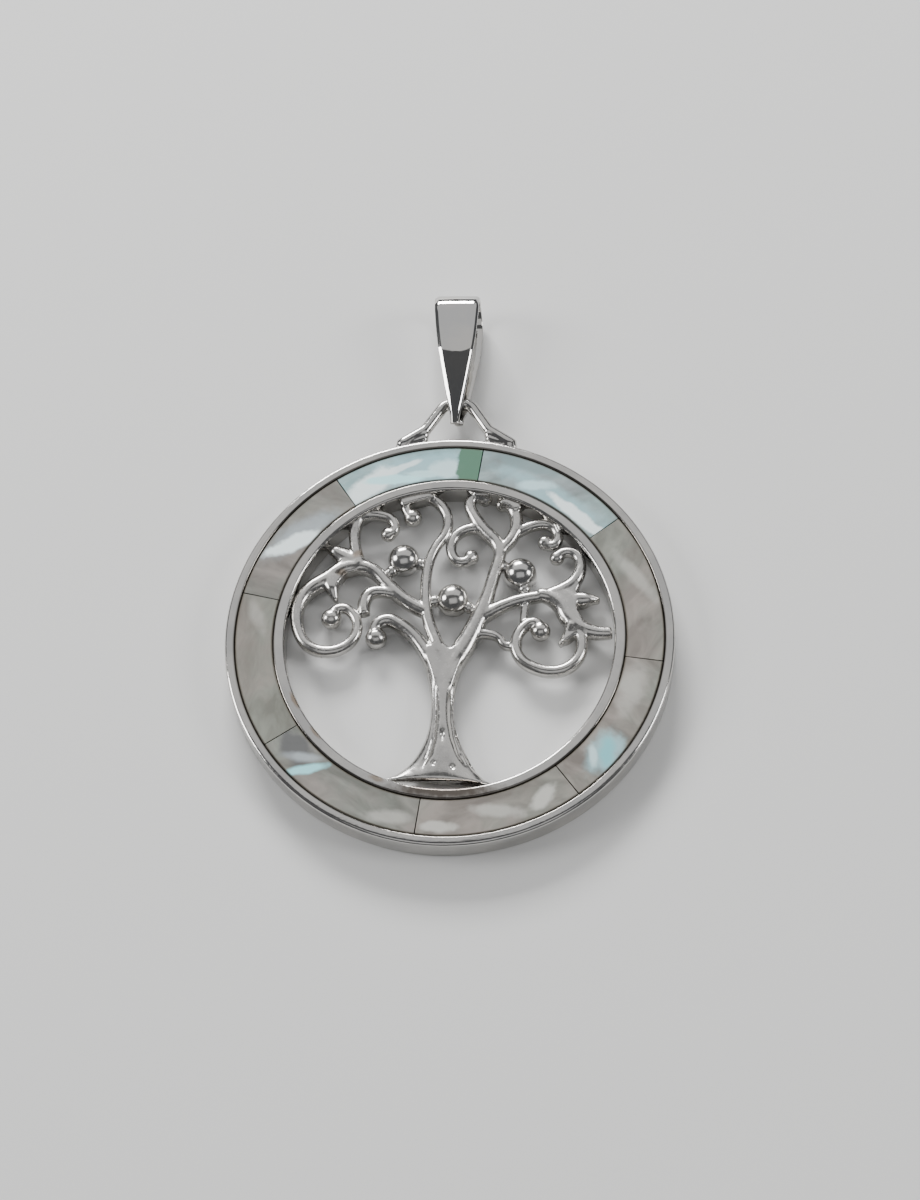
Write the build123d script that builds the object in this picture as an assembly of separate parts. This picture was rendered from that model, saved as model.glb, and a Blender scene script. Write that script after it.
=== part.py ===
from build123d import *
import os
from math import asin, atan2, cos, degrees, radians, sin

os.makedirs("parts", exist_ok=True)

# Sizes in millimetres. The back of the ring lies on Z = 0, the face looks along +Z and the
# hanging end points along +Y, with the centre of the ring on the Z axis until the last step.
ring_radius = 18.0
ring_height = 2.2
outer_rim_width = 0.8
pearl_width = 3.1
inner_rim_width = 0.9
channel_floor = 0.7
rim_round = 0.22
pearl_gap = 0.05
pearl_joint_gap = 0.09
pearl_bevel = 0.08
pearl_level = ring_height - 0.06

outer_rim_inner = ring_radius - outer_rim_width
inner_rim_outer = outer_rim_inner - pearl_width
hole_radius = inner_rim_outer - inner_rim_width

# The tree stands a little off the hanging line, as it was set in the ring.
tree_turn = -2.6
tree_back = 0.35
branch_height = 1.35
tip_level = 0.95
fruit_level = 0.8
station_steps = [0.06, 0.05, 0.04, 0.07, 0.032, 0.08]
peg_radius = 0.28
groove_radius = 0.3
groove_level = tree_back + 1.12 * branch_height

# The wire arch soldered on the ring: half of it, as arcs and straight runs from its top.
# It stands a little to the right, and solder fills the wedge between each foot and the ring.
arch_wire = 0.45
arch_level = 1.7
arch_shift = 0.15
arch_top = ring_radius + 3.57
arch_flat = 0.45
arch_bend = 1.05
arch_slope = 57.4
arch_leg = 2.2
arch_flare = 1.0
arch_foot_slope = 35.0
arch_foot = 2.0
solder_height = 0.65

# The folded bail. Lengths run along its axis from the centre of the arch wire.
bail_wall = 0.38
bail_eye_radius = 0.75
bail_eye_centre = (-0.25, 0)
bail_top_radius = 2.1
bail_top_centre = (7.9, 0)
bail_tip_radius = 0.3
bail_tip_centre = (-1.9, 0.638)
bail_bevel = 0.26
rest_gap = 0.02

# Where the pearl segments meet, in degrees from +X.
pearls = [
    ("pearl_top_right", 40.5, 84.5),
    ("pearl_right_upper", -5.0, 40.5),
    ("pearl_right_lower", -50.0, -5.0),
    ("pearl_bottom_right", -95.0, -50.0),
    ("pearl_bottom_left", -143.7, -95.0),
    ("pearl_left_lower", -190.2, -143.7),
    ("pearl_left_upper", 126.7, 169.8),
    ("pearl_top_left", 84.5, 126.7),
]

# Branches as chains of arcs in the plane of the tree, in shares of the hole radius.
# name: start x, start y, start heading in degrees, start width, lift in millimetres,
# radius of the ball at the end or 0, then one row per arc: length, turn in degrees, end width.
branches = {
    "centre_scroll": (-0.042, -0.210, 92, 0.079, 0.03, 0.048, [
        (0.256, 24, 0.061), (0.170, -16, 0.055), (0.276, -14, 0.050), (0.223, -30, 0.046),
        (0.233, 69, 0.050), (0.186, 53, 0.055), (0.215, 160, 0.034)]),
    "big_left_scroll": (-0.164, 0.193, 159, 0.073, -0.03, 0.051, [
        (0.188, -18, 0.073), (0.176, -11, 0.073), (0.333, 96, 0.079), (0.112, -14, 0.085),
        (0.231, 55, 0.069), (0.175, 29, 0.058), (0.183, 59, 0.057), (0.175, 52, 0.050),
        (0.253, 95, 0.042), (0.152, 131, 0.032)]),
    "low_left_scroll": (-0.074, -0.204, 114, 0.079, -0.05, 0.057, [
        (0.204, 13, 0.076), (0.228, 28, 0.067), (0.205, 150, 0.040)]),
    "upper_left_scroll": (-0.593, 0.486, 103, 0.061, 0.04, 0.040, [
        (0.103, 4, 0.055), (0.092, -11, 0.055), (0.096, -14, 0.067), (0.100, -73, 0.064),
        (0.118, -26, 0.050), (0.115, -72, 0.042), (0.062, -112, 0.036)]),
    "mid_left_curl": (-0.360, 0.325, -168, 0.036, 0.05, 0, [
        (0.065, -5, 0.042), (0.056, 14, 0.048), (0.072, 52, 0.055), (0.082, 8, 0.055)]),
    "right_limb": (0.008, -0.211, 66, 0.109, 0.05, 0.040, [
        (0.191, -1, 0.121), (0.217, 6, 0.097), (0.191, 7, 0.067), (0.216, 0, 0.061),
        (0.163, 61, 0.073), (0.250, -24, 0.058), (0.075, -67, 0.055), (0.082, -76, 0.050)]),
    "top_curl": (0.221, 0.706, 120, 0.061, -0.02, 0.042, [
        (0.155, 67, 0.048), (0.128, 50, 0.043), (0.160, 70, 0.046), (0.130, 130, 0.044)]),
    "upper_right_stem": (0.262, 0.605, 53, 0.061, 0.02, 0.034, [
        (0.082, 1, 0.061), (0.073, 15, 0.062), (0.125, 34, 0.069), (0.061, 22, 0.066),
        (0.082, 57, 0.048)]),
    "upper_right_curl": (0.358, 0.744, 43, 0.044, -0.04, 0.036, [
        (0.170, -32, 0.042), (0.195, -118, 0.040), (0.100, -143, 0.030)]),
    "right_scroll": (0.186, 0.166, 38, 0.073, -0.03, 0.039, [
        (0.178, -12, 0.061), (0.186, -16, 0.057), (0.191, 23, 0.073), (0.217, 72, 0.052),
        (0.185, 136, 0.034)]),
    "right_arm": (0.523, 0.330, 2, 0.060, 0.04, 0, [
        (0.223, -67, 0.108), (0.192, 49, 0.066), (0.135, 26, 0.050)]),
    "low_right_scroll": (0.758, 0.176, -69, 0.058, -0.01, 0.055, [
        (0.098, -4, 0.055), (0.101, -20, 0.052), (0.115, -38, 0.052), (0.107, -35, 0.052),
        (0.104, -28, 0.052), (0.090, -15, 0.050), (0.095, -33, 0.048), (0.114, -43, 0.048),
        (0.128, -41, 0.048), (0.104, -133, 0.039)]),
    "left_thorn": (-0.770, 0.376, -82, 0.105, 0.00, 0, [(0.142, 20, 0.009)]),
    "left_leaf": (-0.585, 0.498, 162, 0.090, -0.06, 0, [(0.120, -8, 0.092), (0.122, -10, 0.012)]),
    "right_leaf": (0.690, 0.312, 0, 0.060, -0.06, 0, [(0.105, 1, 0.080), (0.112, 4, 0.012)]),
    "right_thorn": (0.735, 0.131, -108, 0.064, 0.06, 0, [(0.145, -18, 0.009)]),
    "strut": (0.185, 0.056, 3, 0.044, -0.06, 0, [
        (0.092, -20, 0.036), (0.058, -50, 0.034), (0.053, 66, 0.036), (0.074, 34, 0.036)]),
    "low_strut": (0.447, 0.290, -94, 0.034, -0.07, 0, [(0.185, 2, 0.032)]),
}

# Fruit balls in shares of the hole radius: x, y, radius.
fruits = [
    (-0.326, 0.522, 0.100),
    (0.000, 0.284, 0.102),
    (0.401, 0.479, 0.102),
]

# Solder pegs that hold the fruit balls, in shares of the hole radius: ball, end x, end y.
pegs = [
    (0, -0.434, 0.402),
    (0, -0.177, 0.502),
    (1, -0.156, 0.264),
    (1, 0.141, 0.217),
    (2, 0.281, 0.527),
    (2, 0.446, 0.332),
]

# Bail stations: place along the axis, half width, half thickness of the outline there.
bail_outline = [
    (-2.25, 0.36, 0.92),
    (-1.40, 0.43, 1.02),
    (-0.25, 0.65, 1.16),
    (1.60, 0.98, 1.38),
    (4.60, 1.50, 1.74),
    (6.00, 1.68, 1.91),
    (7.90, 1.84, 2.14),
    (8.80, 1.87, 1.93),
    (9.45, 1.89, 1.46),
    (10.05, 1.90, 0.62),
]

# Grooves along the trunk, as chains of arcs in shares of the hole radius:
# start x, start y, start heading in degrees, then one row per arc: length, turn.
grooves = [
    (-0.100, -0.200, -75, [(0.30, -19), (0.22, -20), (0.10, -15)]),
    (0.052, -0.190, -109, [(0.28, 19), (0.22, 16), (0.18, 30)]),
    (-0.008, -0.160, -93, [(0.26, 4), (0.20, 1)]),
    (0.062, -0.700, -66, [(0.20, 18)]),
]

# Trunk stations in shares of the hole radius: y, left edge, right edge, share of full height.
trunk = [
    (-0.940, -0.363, 0.367, 0.86),
    (-0.920, -0.298, 0.297, 0.90),
    (-0.890, -0.248, 0.252, 0.94),
    (-0.840, -0.188, 0.202, 1.00),
    (-0.760, -0.135, 0.153, 1.05),
    (-0.660, -0.095, 0.100, 1.08),
    (-0.540, -0.075, 0.060, 1.08),
    (-0.400, -0.080, 0.047, 1.06),
    (-0.270, -0.108, 0.063, 1.02),
    (-0.140, -0.141, 0.091, 0.92),
]


def section(x, y, heading, width, base, crown):
    """A flat-backed, round-topped slice across a branch."""
    across = (sin(radians(heading)), -cos(radians(heading)), 0)
    along = (cos(radians(heading)), sin(radians(heading)), 0)
    plane = Plane(origin=(x, y, 0), x_dir=across, z_dir=along)
    half = width / 2
    flip = 1 if plane.y_dir.Z > 0 else -1
    shoulder = crown - min(0.9 * half, 0.45)
    outline = Wire([
        Edge.make_line((-half, base * flip), (half, base * flip)),
        Edge.make_line((half, base * flip), (half, shoulder * flip)),
        Edge.make_three_point_arc((half, shoulder * flip), (0, crown * flip), (-half, shoulder * flip)),
        Edge.make_line((-half, shoulder * flip), (-half, base * flip)),
    ])
    return plane * Face(outline)


def stations(start_x, start_y, heading, width, arcs, station_step=0.06):
    """Evenly spaced points along a chain of arcs: x, y, heading and width at each."""
    total = sum(length for length, turn, end_width in arcs)
    count = max(2, round(total / station_step))
    found = [(start_x * hole_radius, start_y * hole_radius, heading, width * hole_radius)]
    x, y = start_x, start_y
    walked = 0
    index = 0
    arc_start = 0
    for k in range(1, count + 1):
        goal = total * k / count
        while walked < goal - 1e-9:
            length, turn, end_width = arcs[index]
            stride = min(goal, arc_start + length) - walked
            swing = turn * stride / length
            half_swing = radians(swing / 2)
            chord = stride * (sin(half_swing) / half_swing if abs(half_swing) > 1e-6 else 1)
            x += chord * cos(radians(heading + swing / 2))
            y += chord * sin(radians(heading + swing / 2))
            heading += swing
            width += (end_width - width) * stride / (arc_start + length - walked)
            walked += stride
            if walked > arc_start + length - 1e-9 and index < len(arcs) - 1:
                arc_start += length
                index += 1
        found.append((x * hole_radius, y * hole_radius, heading, width * hole_radius))
    return found


def branch(step, start_x, start_y, heading, width, lift, tip, arcs):
    """A branch swept along its chain of arcs, deeper where it is wider, and its ball."""
    places = stations(start_x, start_y, heading, width, arcs, step)
    slices = []
    for x, y, angle, wide in places:
        crown = tree_back + lift + branch_height * min(1, 0.62 + 0.45 * wide)
        slices.append(section(x, y, angle, wide, tree_back + lift / 2, crown))
    stem = Solid.make_loft([piece.face().outer_wire() for piece in slices])
    if tip:
        return [stem, ball(places[-1][0], places[-1][1], tip, tip_level)]
    return [stem]


def peg(index, end_x, end_y):
    """A short straight wire from a fruit ball to the branch beside it."""
    start = Vector(fruits[index][0] * hole_radius, fruits[index][1] * hole_radius, fruit_level)
    end = Vector(end_x * hole_radius, end_y * hole_radius, fruit_level)
    return Solid.make_cylinder(peg_radius, (end - start).length, Plane(start, z_dir=end - start))


def joined(body, pieces):
    """The body and the pieces as one solid, or nothing where the surfaces don't meet cleanly."""
    for piece in pieces:
        whole = body + Rot(0, 0, tree_turn) * piece
        gained = whole.volume - body.volume
        if len(whole.solids()) != 1 or not whole.is_valid or not 0.05 < gained / piece.volume < 1:
            return None
        body = whole
    return body


def tree_solid():
    body = Rot(0, 0, tree_turn) * trunk_solid()
    for row in branches.values():
        for step in station_steps:
            grown = joined(body, branch(step, *row))
            if grown:
                break
        if grown:
            body = grown
    for row in pegs:
        grown = joined(body, [peg(*row)])
        body = grown or body
    for x, y, share in fruits:
        grown = joined(body, [ball(x * hole_radius, y * hole_radius, share, fruit_level)])
        body = grown or body
    return body


def groove(start_x, start_y, heading, arcs):
    """A round-bottomed groove along the front of the trunk."""
    rows = [(length, turn, 0) for length, turn in arcs]
    places = stations(start_x, start_y, heading, 0, rows, 0.1)
    path = Spline(*[(x, y, groove_level) for x, y, angle, wide in places])
    start = Plane(origin=path @ 0, z_dir=path % 0)
    return sweep(start * Circle(groove_radius), path)


def trunk_solid():
    slices = []
    for y, left, right, share in trunk:
        middle = (left + right) / 2 * hole_radius
        wide = (right - left) * hole_radius
        crown = tree_back + branch_height * share
        slices.append(section(middle, y * hole_radius, 90, wide, tree_back - 0.03, crown))
    body = Solid.make_loft([piece.face().outer_wire() for piece in slices])
    for row in grooves:
        body = body - groove(*row)
    return body


def ball(x, y, share, level):
    """A ball with a flat back just behind the back of the tree."""
    size = share * hole_radius
    cut = degrees(asin(max(-1, (tree_back - 0.05 - level) / size)))
    middle = (Align.CENTER, Align.CENTER, Align.NONE)
    return Pos(x, y, level) * Sphere(size, arc_size1=cut, arc_size2=90, align=middle)


def turned(outline):
    """A profile drawn as radius and height, turned about the Z axis."""
    return revolve(Plane.XZ * outline, Axis.Z, 360)


def ring_solid():
    """The channel: outer wall, inner wall and back, with rounded rims."""
    r0, r1, r2, r3 = hole_radius, inner_rim_outer, outer_rim_inner, ring_radius
    body = make_face(Polyline(
        (r0, 0), (r3, 0), (r3, ring_height), (r2, ring_height),
        (r2, channel_floor), (r1, channel_floor), (r1, ring_height), (r0, ring_height), close=True))
    rims = [v for v in body.vertices() if v.Y > ring_height - 0.01]
    body = fillet(rims, rim_round)
    backs = [v for v in body.vertices() if v.Y < 0.01]
    body = chamfer(backs, 0.12)
    return turned(body)


def arch_solid():
    """The wire arch: one half swept along its bends, with its solder, and its mirror image."""
    y = arch_top
    start = (0, y)
    flat_end = (arch_flat, y)
    bend = radians(arch_slope)
    leg_start = (arch_flat + arch_bend * sin(bend), y - arch_bend * (1 - cos(bend)))
    leg_end = (leg_start[0] + arch_leg * cos(bend), leg_start[1] - arch_leg * sin(bend))
    foot = radians(arch_foot_slope)
    flare_end = (
        leg_end[0] + arch_flare * (sin(bend) - sin(foot)),
        leg_end[1] - arch_flare * (cos(foot) - cos(bend)))
    foot_end = (flare_end[0] + arch_foot * cos(foot), flare_end[1] - arch_foot * sin(foot))
    path = Wire([
        Edge.make_line(start, flat_end),
        Edge.make_tangent_arc(flat_end, (1, 0), leg_start),
        Edge.make_line(leg_start, leg_end),
        Edge.make_tangent_arc(leg_end, (cos(bend), -sin(bend)), flare_end),
        Edge.make_line(flare_end, foot_end),
    ])
    tube = sweep(Plane(origin=(0, y, 0), z_dir=(1, 0, 0)) * Circle(arch_wire), path)
    end = Pos(foot_end[0], foot_end[1], 0) * Sphere(arch_wire)
    wedge = make_face(Polyline(
        (flare_end[0], flare_end[1] - 0.2), foot_end,
        (foot_end[0] - 0.2, ring_radius - 0.7), (flare_end[0] - 0.15, ring_radius - 0.4), close=True))
    solder = Pos(0, 0, -solder_height / 2) * extrude(wedge, solder_height)
    half = Pos(0, 0, arch_level) * (tube + end + solder)
    return Pos(arch_shift, 0, 0) * (half + mirror(half, Plane.YZ))


def egg(low, low_radius, high, high_radius):
    """The shape round two circles and the straight sides that touch both."""
    away = Vector(high) - Vector(low)
    along = atan2(away.Y, away.X)
    lean = asin((high_radius - low_radius) / away.length)
    turns = [along + side * (radians(90) + lean) for side in (1, -1)]
    low_ends = [(low[0] + low_radius * cos(turn), low[1] + low_radius * sin(turn)) for turn in turns]
    high_ends = [(high[0] + high_radius * cos(turn), high[1] + high_radius * sin(turn)) for turn in turns]
    sides = make_face(Polyline(low_ends[0], high_ends[0], high_ends[1], low_ends[1], close=True))
    return sides + Pos(*low) * Circle(low_radius) + Pos(*high) * Circle(high_radius)


def bail_slice(place, half_width, half_thickness):
    """A bevelled rectangle across the bail."""
    w, h = half_width, half_thickness
    c = min(bail_bevel, 0.4 * w, 0.4 * h)
    upper = [(w, h - c), (w - c, h), (c - w, h), (-w, h - c)]
    corners = upper + [(-x, -y) for x, y in upper]
    plane = Plane(origin=(place, 0, 0), x_dir=(0, 1, 0), z_dir=(1, 0, 0))
    return plane * Face(Wire.make_polygon([(x, y, 0) for x, y in corners], close=True))


def bail_solid():
    """The folded strap about its own wire centre: axis along +X, width along Y, front along +Z.
    The front leaf runs straight from the fold to the tip, and the back leaf closes round the wire."""
    outer_radius = bail_eye_radius + bail_wall
    outer = egg(bail_eye_centre, outer_radius, bail_top_centre, bail_top_radius)
    tip = egg(bail_tip_centre, bail_tip_radius, bail_eye_centre, outer_radius)
    inner = egg(bail_eye_centre, bail_eye_radius, bail_top_centre, bail_top_radius - bail_wall)
    reach = 3.0
    side_on = Plane(origin=(0, reach, 0), x_dir=(1, 0, 0), z_dir=(0, -1, 0))
    loop = extrude(side_on * (outer + tip), 2 * reach)
    hollow = extrude(side_on * inner, 2 * reach)
    slices = [bail_slice(*row).face().outer_wire() for row in bail_outline]
    envelope = Solid.make_loft(slices, ruled=True)
    return (envelope & loop) - hollow


def pearl_solid(start, stop):
    """One mother-of-pearl segment of the channel between two angles."""
    r1 = inner_rim_outer + pearl_gap
    r2 = outer_rim_inner - pearl_gap
    profile = make_face(Polyline(
        (r1, channel_floor + pearl_gap), (r2, channel_floor + pearl_gap),
        (r2, pearl_level - pearl_bevel), (r2 - pearl_bevel, pearl_level),
        (r1 + pearl_bevel, pearl_level), (r1, pearl_level - pearl_bevel), close=True))
    trim = degrees(pearl_joint_gap / 2 / ((r1 + r2) / 2))
    piece = revolve(Plane.XZ * profile, Axis.Z, stop - start - 2 * trim)
    return Rot(0, 0, start + trim + tree_turn) * piece


ring = ring_solid()
arch = arch_solid()
base = ring + arch
tree = tree_solid()
frame = tree + base

lean = degrees(asin((bail_top_radius + rest_gap - arch_level) / bail_top_centre[0]))
bail = Pos(0, arch_top, arch_level) * Rot(lean, 0, 0) * Rot(0, 0, 90) * bail_solid()
nodes = {"frame": frame, "bail": bail}
for name, start, stop in pearls:
    nodes[name] = pearl_solid(start, stop)

# The centre of the whole pendant goes over the origin, its underside stays on Z = 0.
low = min(piece.bounding_box().min.Y for piece in nodes.values())
high = max(piece.bounding_box().max.Y for piece in nodes.values())
shift = -(low + high) / 2
for name, piece in nodes.items():
    piece = Pos(0, shift, 0) * piece
    export_step(piece, "parts/" + name + ".step")
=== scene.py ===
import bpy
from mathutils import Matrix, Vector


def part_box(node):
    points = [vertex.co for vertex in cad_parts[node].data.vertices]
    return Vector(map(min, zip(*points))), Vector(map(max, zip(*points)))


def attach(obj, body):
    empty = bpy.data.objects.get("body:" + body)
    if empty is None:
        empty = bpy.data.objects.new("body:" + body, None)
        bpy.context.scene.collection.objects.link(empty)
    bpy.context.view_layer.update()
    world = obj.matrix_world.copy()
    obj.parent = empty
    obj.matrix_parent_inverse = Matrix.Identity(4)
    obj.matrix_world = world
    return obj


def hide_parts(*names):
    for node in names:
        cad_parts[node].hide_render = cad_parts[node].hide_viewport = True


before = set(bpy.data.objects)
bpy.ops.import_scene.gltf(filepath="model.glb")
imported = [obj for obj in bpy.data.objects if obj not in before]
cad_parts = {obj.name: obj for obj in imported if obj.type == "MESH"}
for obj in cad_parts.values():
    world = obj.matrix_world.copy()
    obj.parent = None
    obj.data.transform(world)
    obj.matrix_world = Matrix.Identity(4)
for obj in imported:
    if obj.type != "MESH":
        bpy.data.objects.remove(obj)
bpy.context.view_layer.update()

from math import asin, atan2, cos, degrees, exp, pi, radians, sin

import bmesh
import bpy
from mathutils import Matrix, Vector, noise

# Everything is made in millimetres about the centre of the ring, then moved to the frame in metres.
MM = 0.001
ring_radius = 18.0
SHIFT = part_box("frame")[0].y / MM + ring_radius

ring_height = 2.2
outer_rim_inner = 17.2
inner_rim_outer = 14.1
hole_radius = 13.2
channel_half = (outer_rim_inner - inner_rim_outer) / 2
channel_floor = 0.7
rim_round = 0.26

tree_turn = -2.6
tree_back = 0.35
branch_height = 1.35
tip_level = 0.95
fruit_level = 0.8
peg_width = 0.62
drop_radius = 0.48
limb_line = -0.15
limb_sink = 0.10
limb_sink_stations = 7
trunk_foot = -0.945
trunk_top = -0.062
trunk_rows = 70
root_arch = 0.42
groove_fade = 14

# What is added to the tree before the smoothing takes it off again, and the mesh size and rounds of it.
branch_growth = 0.14
trunk_growth = 0.08
ball_growth = 0.05
skin_growth = 0.045
tree_mesh = (0.096, 5)
arch_mesh = (0.075, 6)

arch_wire = 0.45
arch_level = 1.7
arch_shift = 0.15
arch_top = ring_radius + 3.57
arch_flat = 0.45
arch_bend = 1.05
arch_slope = radians(57.4)
arch_leg = 2.2
arch_flare = 1.0
arch_foot_slope = radians(35.0)
arch_foot = 2.0

# Solder under a foot: two rows of drops and a flat fillet. Each row: first place across and up, fall,
# height over the middle of the wire, first radius and loss of radius. The rows are one length long.
solder_rows = [(2.72, 18.62, 0.80, 0.01, 0.46, 0.02), (2.78, 18.22, 0.72, -0.03, 0.45, 0.03)]
solder_length = 1.85
solder_steps = 8
solder_outline = [(2.30, 19.30), (2.90, 18.98), (4.62, 17.86), (4.50, 17.40), (2.70, 17.72)]
solder_levels = (1.10, 2.02)

# Bail: circles as place, height and radius of its outline seen from the side, then its half widths.
bail_wall = 0.38
bail_tip = (-1.90, 0.638, 0.30)
bail_eye = (-0.25, 0.0, 1.13)
bail_fold = (7.90, 0.0, 2.10)
bail_lean = asin((bail_fold[2] + 0.02 - arch_level) / bail_fold[0])
bail_widths = [
    (-2.25, 0.36), (-1.40, 0.43), (-0.25, 0.65), (1.60, 0.98), (4.60, 1.50), (6.00, 1.68),
    (7.90, 1.84), (8.80, 1.87), (9.45, 1.89), (10.00, 1.90)]
bail_bevels = (0.32, 0.22)
bail_bevel_depth = 0.15
bail_bend = 0.16
bail_bend_place = 4.4
bail_bend_dip = 0.35
bail_crown = 0.03
bail_lip = 0.05
bail_askew = 0.32
bail_askew_start = 84
bail_askew_steps = 22
front_steps = 60
fold_steps = 40
back_steps = 26
eye_steps = 6
tip_steps = 10
eye_end = -radians(122)
tip_pull = 0.45

# Branches as chains of arcs in shares of the hole radius: start x, start y, start heading,
# start width, lift in mm, end ball, then length, turn and end width of each arc.
branches = {
    "centre_scroll": (-0.042, -0.210, 92, 0.079, 0.03, 0.051, [
        (0.256, 24, 0.061), (0.170, -16, 0.055), (0.276, -14, 0.050), (0.223, -30, 0.046),
        (0.233, 69, 0.052), (0.186, 53, 0.057), (0.215, 160, 0.042)]),
    "big_left_scroll": (-0.164, 0.193, 159, 0.073, -0.03, 0.057, [
        (0.188, -18, 0.073), (0.176, -11, 0.073), (0.333, 96, 0.079), (0.112, -14, 0.085),
        (0.231, 55, 0.069), (0.175, 29, 0.058), (0.183, 59, 0.057), (0.175, 52, 0.050),
        (0.253, 95, 0.046), (0.152, 131, 0.046)]),
    "low_left_scroll": (-0.074, -0.204, 114, 0.079, -0.05, 0.061, [
        (0.204, 13, 0.076), (0.228, 28, 0.067), (0.205, 150, 0.052)]),
    "upper_left_scroll": (-0.593, 0.486, 103, 0.061, 0.04, 0.040, [
        (0.103, 4, 0.055), (0.092, -11, 0.055), (0.096, -14, 0.067), (0.100, -73, 0.064),
        (0.118, -26, 0.050), (0.115, -72, 0.042), (0.062, -112, 0.036)]),
    "mid_left_curl": (-0.365, 0.297, 165, 0.050, 0.05, 0, [
        (0.107, 20, 0.056), (0.075, 60, 0.062), (0.070, 30, 0.062), (0.055, 10, 0.056)]),
    "right_limb": (0.008, -0.211, 66, 0.109, 0.05, 0.040, [
        (0.191, -1, 0.121), (0.217, 6, 0.097), (0.191, 7, 0.067), (0.216, 0, 0.061),
        (0.163, 61, 0.073), (0.250, -24, 0.058), (0.075, -67, 0.055), (0.082, -76, 0.050)]),
    "top_curl": (0.221, 0.706, 120, 0.061, -0.02, 0.042, [
        (0.155, 67, 0.052), (0.128, 50, 0.049), (0.160, 70, 0.051), (0.130, 130, 0.048)]),
    "upper_right_stem": (0.262, 0.605, 53, 0.061, 0.02, 0.034, [
        (0.082, 1, 0.061), (0.073, 15, 0.062), (0.125, 34, 0.069), (0.061, 22, 0.066),
        (0.082, 57, 0.048)]),
    "upper_right_curl": (0.358, 0.744, 43, 0.050, -0.04, 0.040, [
        (0.170, -32, 0.050), (0.195, -118, 0.048), (0.100, -143, 0.038)]),
    "right_scroll": (0.186, 0.166, 38, 0.073, -0.03, 0.039, [
        (0.178, -12, 0.061), (0.186, -16, 0.057), (0.191, 23, 0.073), (0.217, 72, 0.052),
        (0.185, 136, 0.042)]),
    "right_arm": (0.523, 0.330, 2, 0.060, 0.04, 0, [
        (0.223, -67, 0.118), (0.192, 49, 0.074), (0.135, 26, 0.055)]),
    "low_right_scroll": (0.758, 0.176, -69, 0.058, -0.01, 0.055, [
        (0.098, -4, 0.059), (0.101, -20, 0.058), (0.115, -38, 0.058), (0.107, -35, 0.058),
        (0.104, -28, 0.058), (0.090, -15, 0.056), (0.095, -33, 0.054), (0.114, -43, 0.053),
        (0.128, -41, 0.052), (0.104, -133, 0.045)]),
    "left_thorn": (-0.762, 0.392, -82, 0.130, 0.00, 0, [(0.158, 18, 0.009)]),
    "left_leaf": (-0.585, 0.500, 162, 0.100, -0.06, 0, [(0.120, -8, 0.112), (0.126, -10, 0.016)]),
    "right_leaf": (0.690, 0.312, 0, 0.070, -0.06, 0, [(0.105, 1, 0.088), (0.098, 4, 0.014)]),
    "right_thorn": (0.735, 0.131, -108, 0.064, 0.06, 0, [(0.145, -18, 0.009)]),
    "strut": (0.185, 0.056, 3, 0.044, -0.06, 0, [
        (0.092, -20, 0.036), (0.058, -50, 0.034), (0.053, 66, 0.036), (0.074, 34, 0.036)]),
    "low_strut": (0.447, 0.290, -94, 0.034, -0.07, 0, [(0.185, 2, 0.032)]),
}
# Flat webs where branches run into each other or into the rim: height in mm, then the outline.
webs = [
    (1.62, [(-0.666, 0.545), (-0.615, 0.553), (-0.548, 0.482), (-0.608, 0.437), (-0.701, 0.408),
            (-0.733, 0.466)]),
    (1.58, [(-0.812, 0.366), (-0.727, 0.435), (-0.675, 0.406), (-0.710, 0.354), (-0.724, 0.307),
            (-0.755, 0.293)]),
    (1.86, [(-0.389, 0.990), (-0.217, 1.010), (-0.156, 0.960), (-0.240, 0.935), (-0.323, 0.905),
            (-0.356, 0.890)]),
    (1.86, [(-0.681, 0.824), (-0.631, 0.868), (-0.561, 0.881), (-0.554, 0.839), (-0.609, 0.813),
            (-0.643, 0.775)]),
    (1.86, [(0.072, 1.010), (0.112, 1.020), (0.178, 1.010), (0.180, 0.980), (0.145, 0.985), (0.100, 0.980)]),
    (1.86, [(0.249, 0.937), (0.290, 0.990), (0.367, 0.980), (0.381, 0.901), (0.341, 0.893), (0.297, 0.923)]),
    (1.86, [(0.583, 0.840), (0.625, 0.838), (0.655, 0.776), (0.628, 0.753), (0.606, 0.799)]),
    (1.66, [(0.577, 0.302), (0.631, 0.334), (0.692, 0.357), (0.759, 0.313), (0.755, 0.242), (0.788, 0.179),
            (0.832, 0.117), (0.781, 0.100), (0.720, 0.088), (0.704, 0.149), (0.664, 0.224), (0.604, 0.272)]),
    (1.60, [(0.719, 0.096), (0.787, 0.115), (0.769, 0.074), (0.719, 0.026), (0.686, 0.015)]),
    (1.62, [(0.628, 0.336), (0.698, 0.382), (0.754, 0.425), (0.769, 0.404), (0.744, 0.344), (0.687, 0.323)]),
    (1.60, [(0.238, 0.685), (0.281, 0.649), (0.316, 0.676), (0.301, 0.596), (0.265, 0.595)]),
    (1.60, [(0.095, 0.790), (0.167, 0.800), (0.207, 0.712), (0.168, 0.739), (0.126, 0.747)]),
    (1.69, [(-0.045, -0.360), (-0.092, -0.230), (-0.122, -0.150), (-0.130, -0.060), (-0.100, -0.040),
            (-0.070, -0.065), (-0.030, -0.040), (0.010, -0.070), (0.050, -0.035), (0.085, -0.060),
            (0.076, -0.150), (0.056, -0.230), (0.022, -0.360)]),
]
# Fruits: x, y and radius. Pegs: the fruit that each holds, then its far end.
fruits = [(-0.322, 0.544, 0.100), (0.000, 0.284, 0.102), (0.401, 0.479, 0.102)]
pegs = [
    (0, -0.434, 0.412), (0, -0.177, 0.510), (1, -0.156, 0.264),
    (1, 0.141, 0.217), (2, 0.281, 0.527), (2, 0.446, 0.332)]
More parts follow.
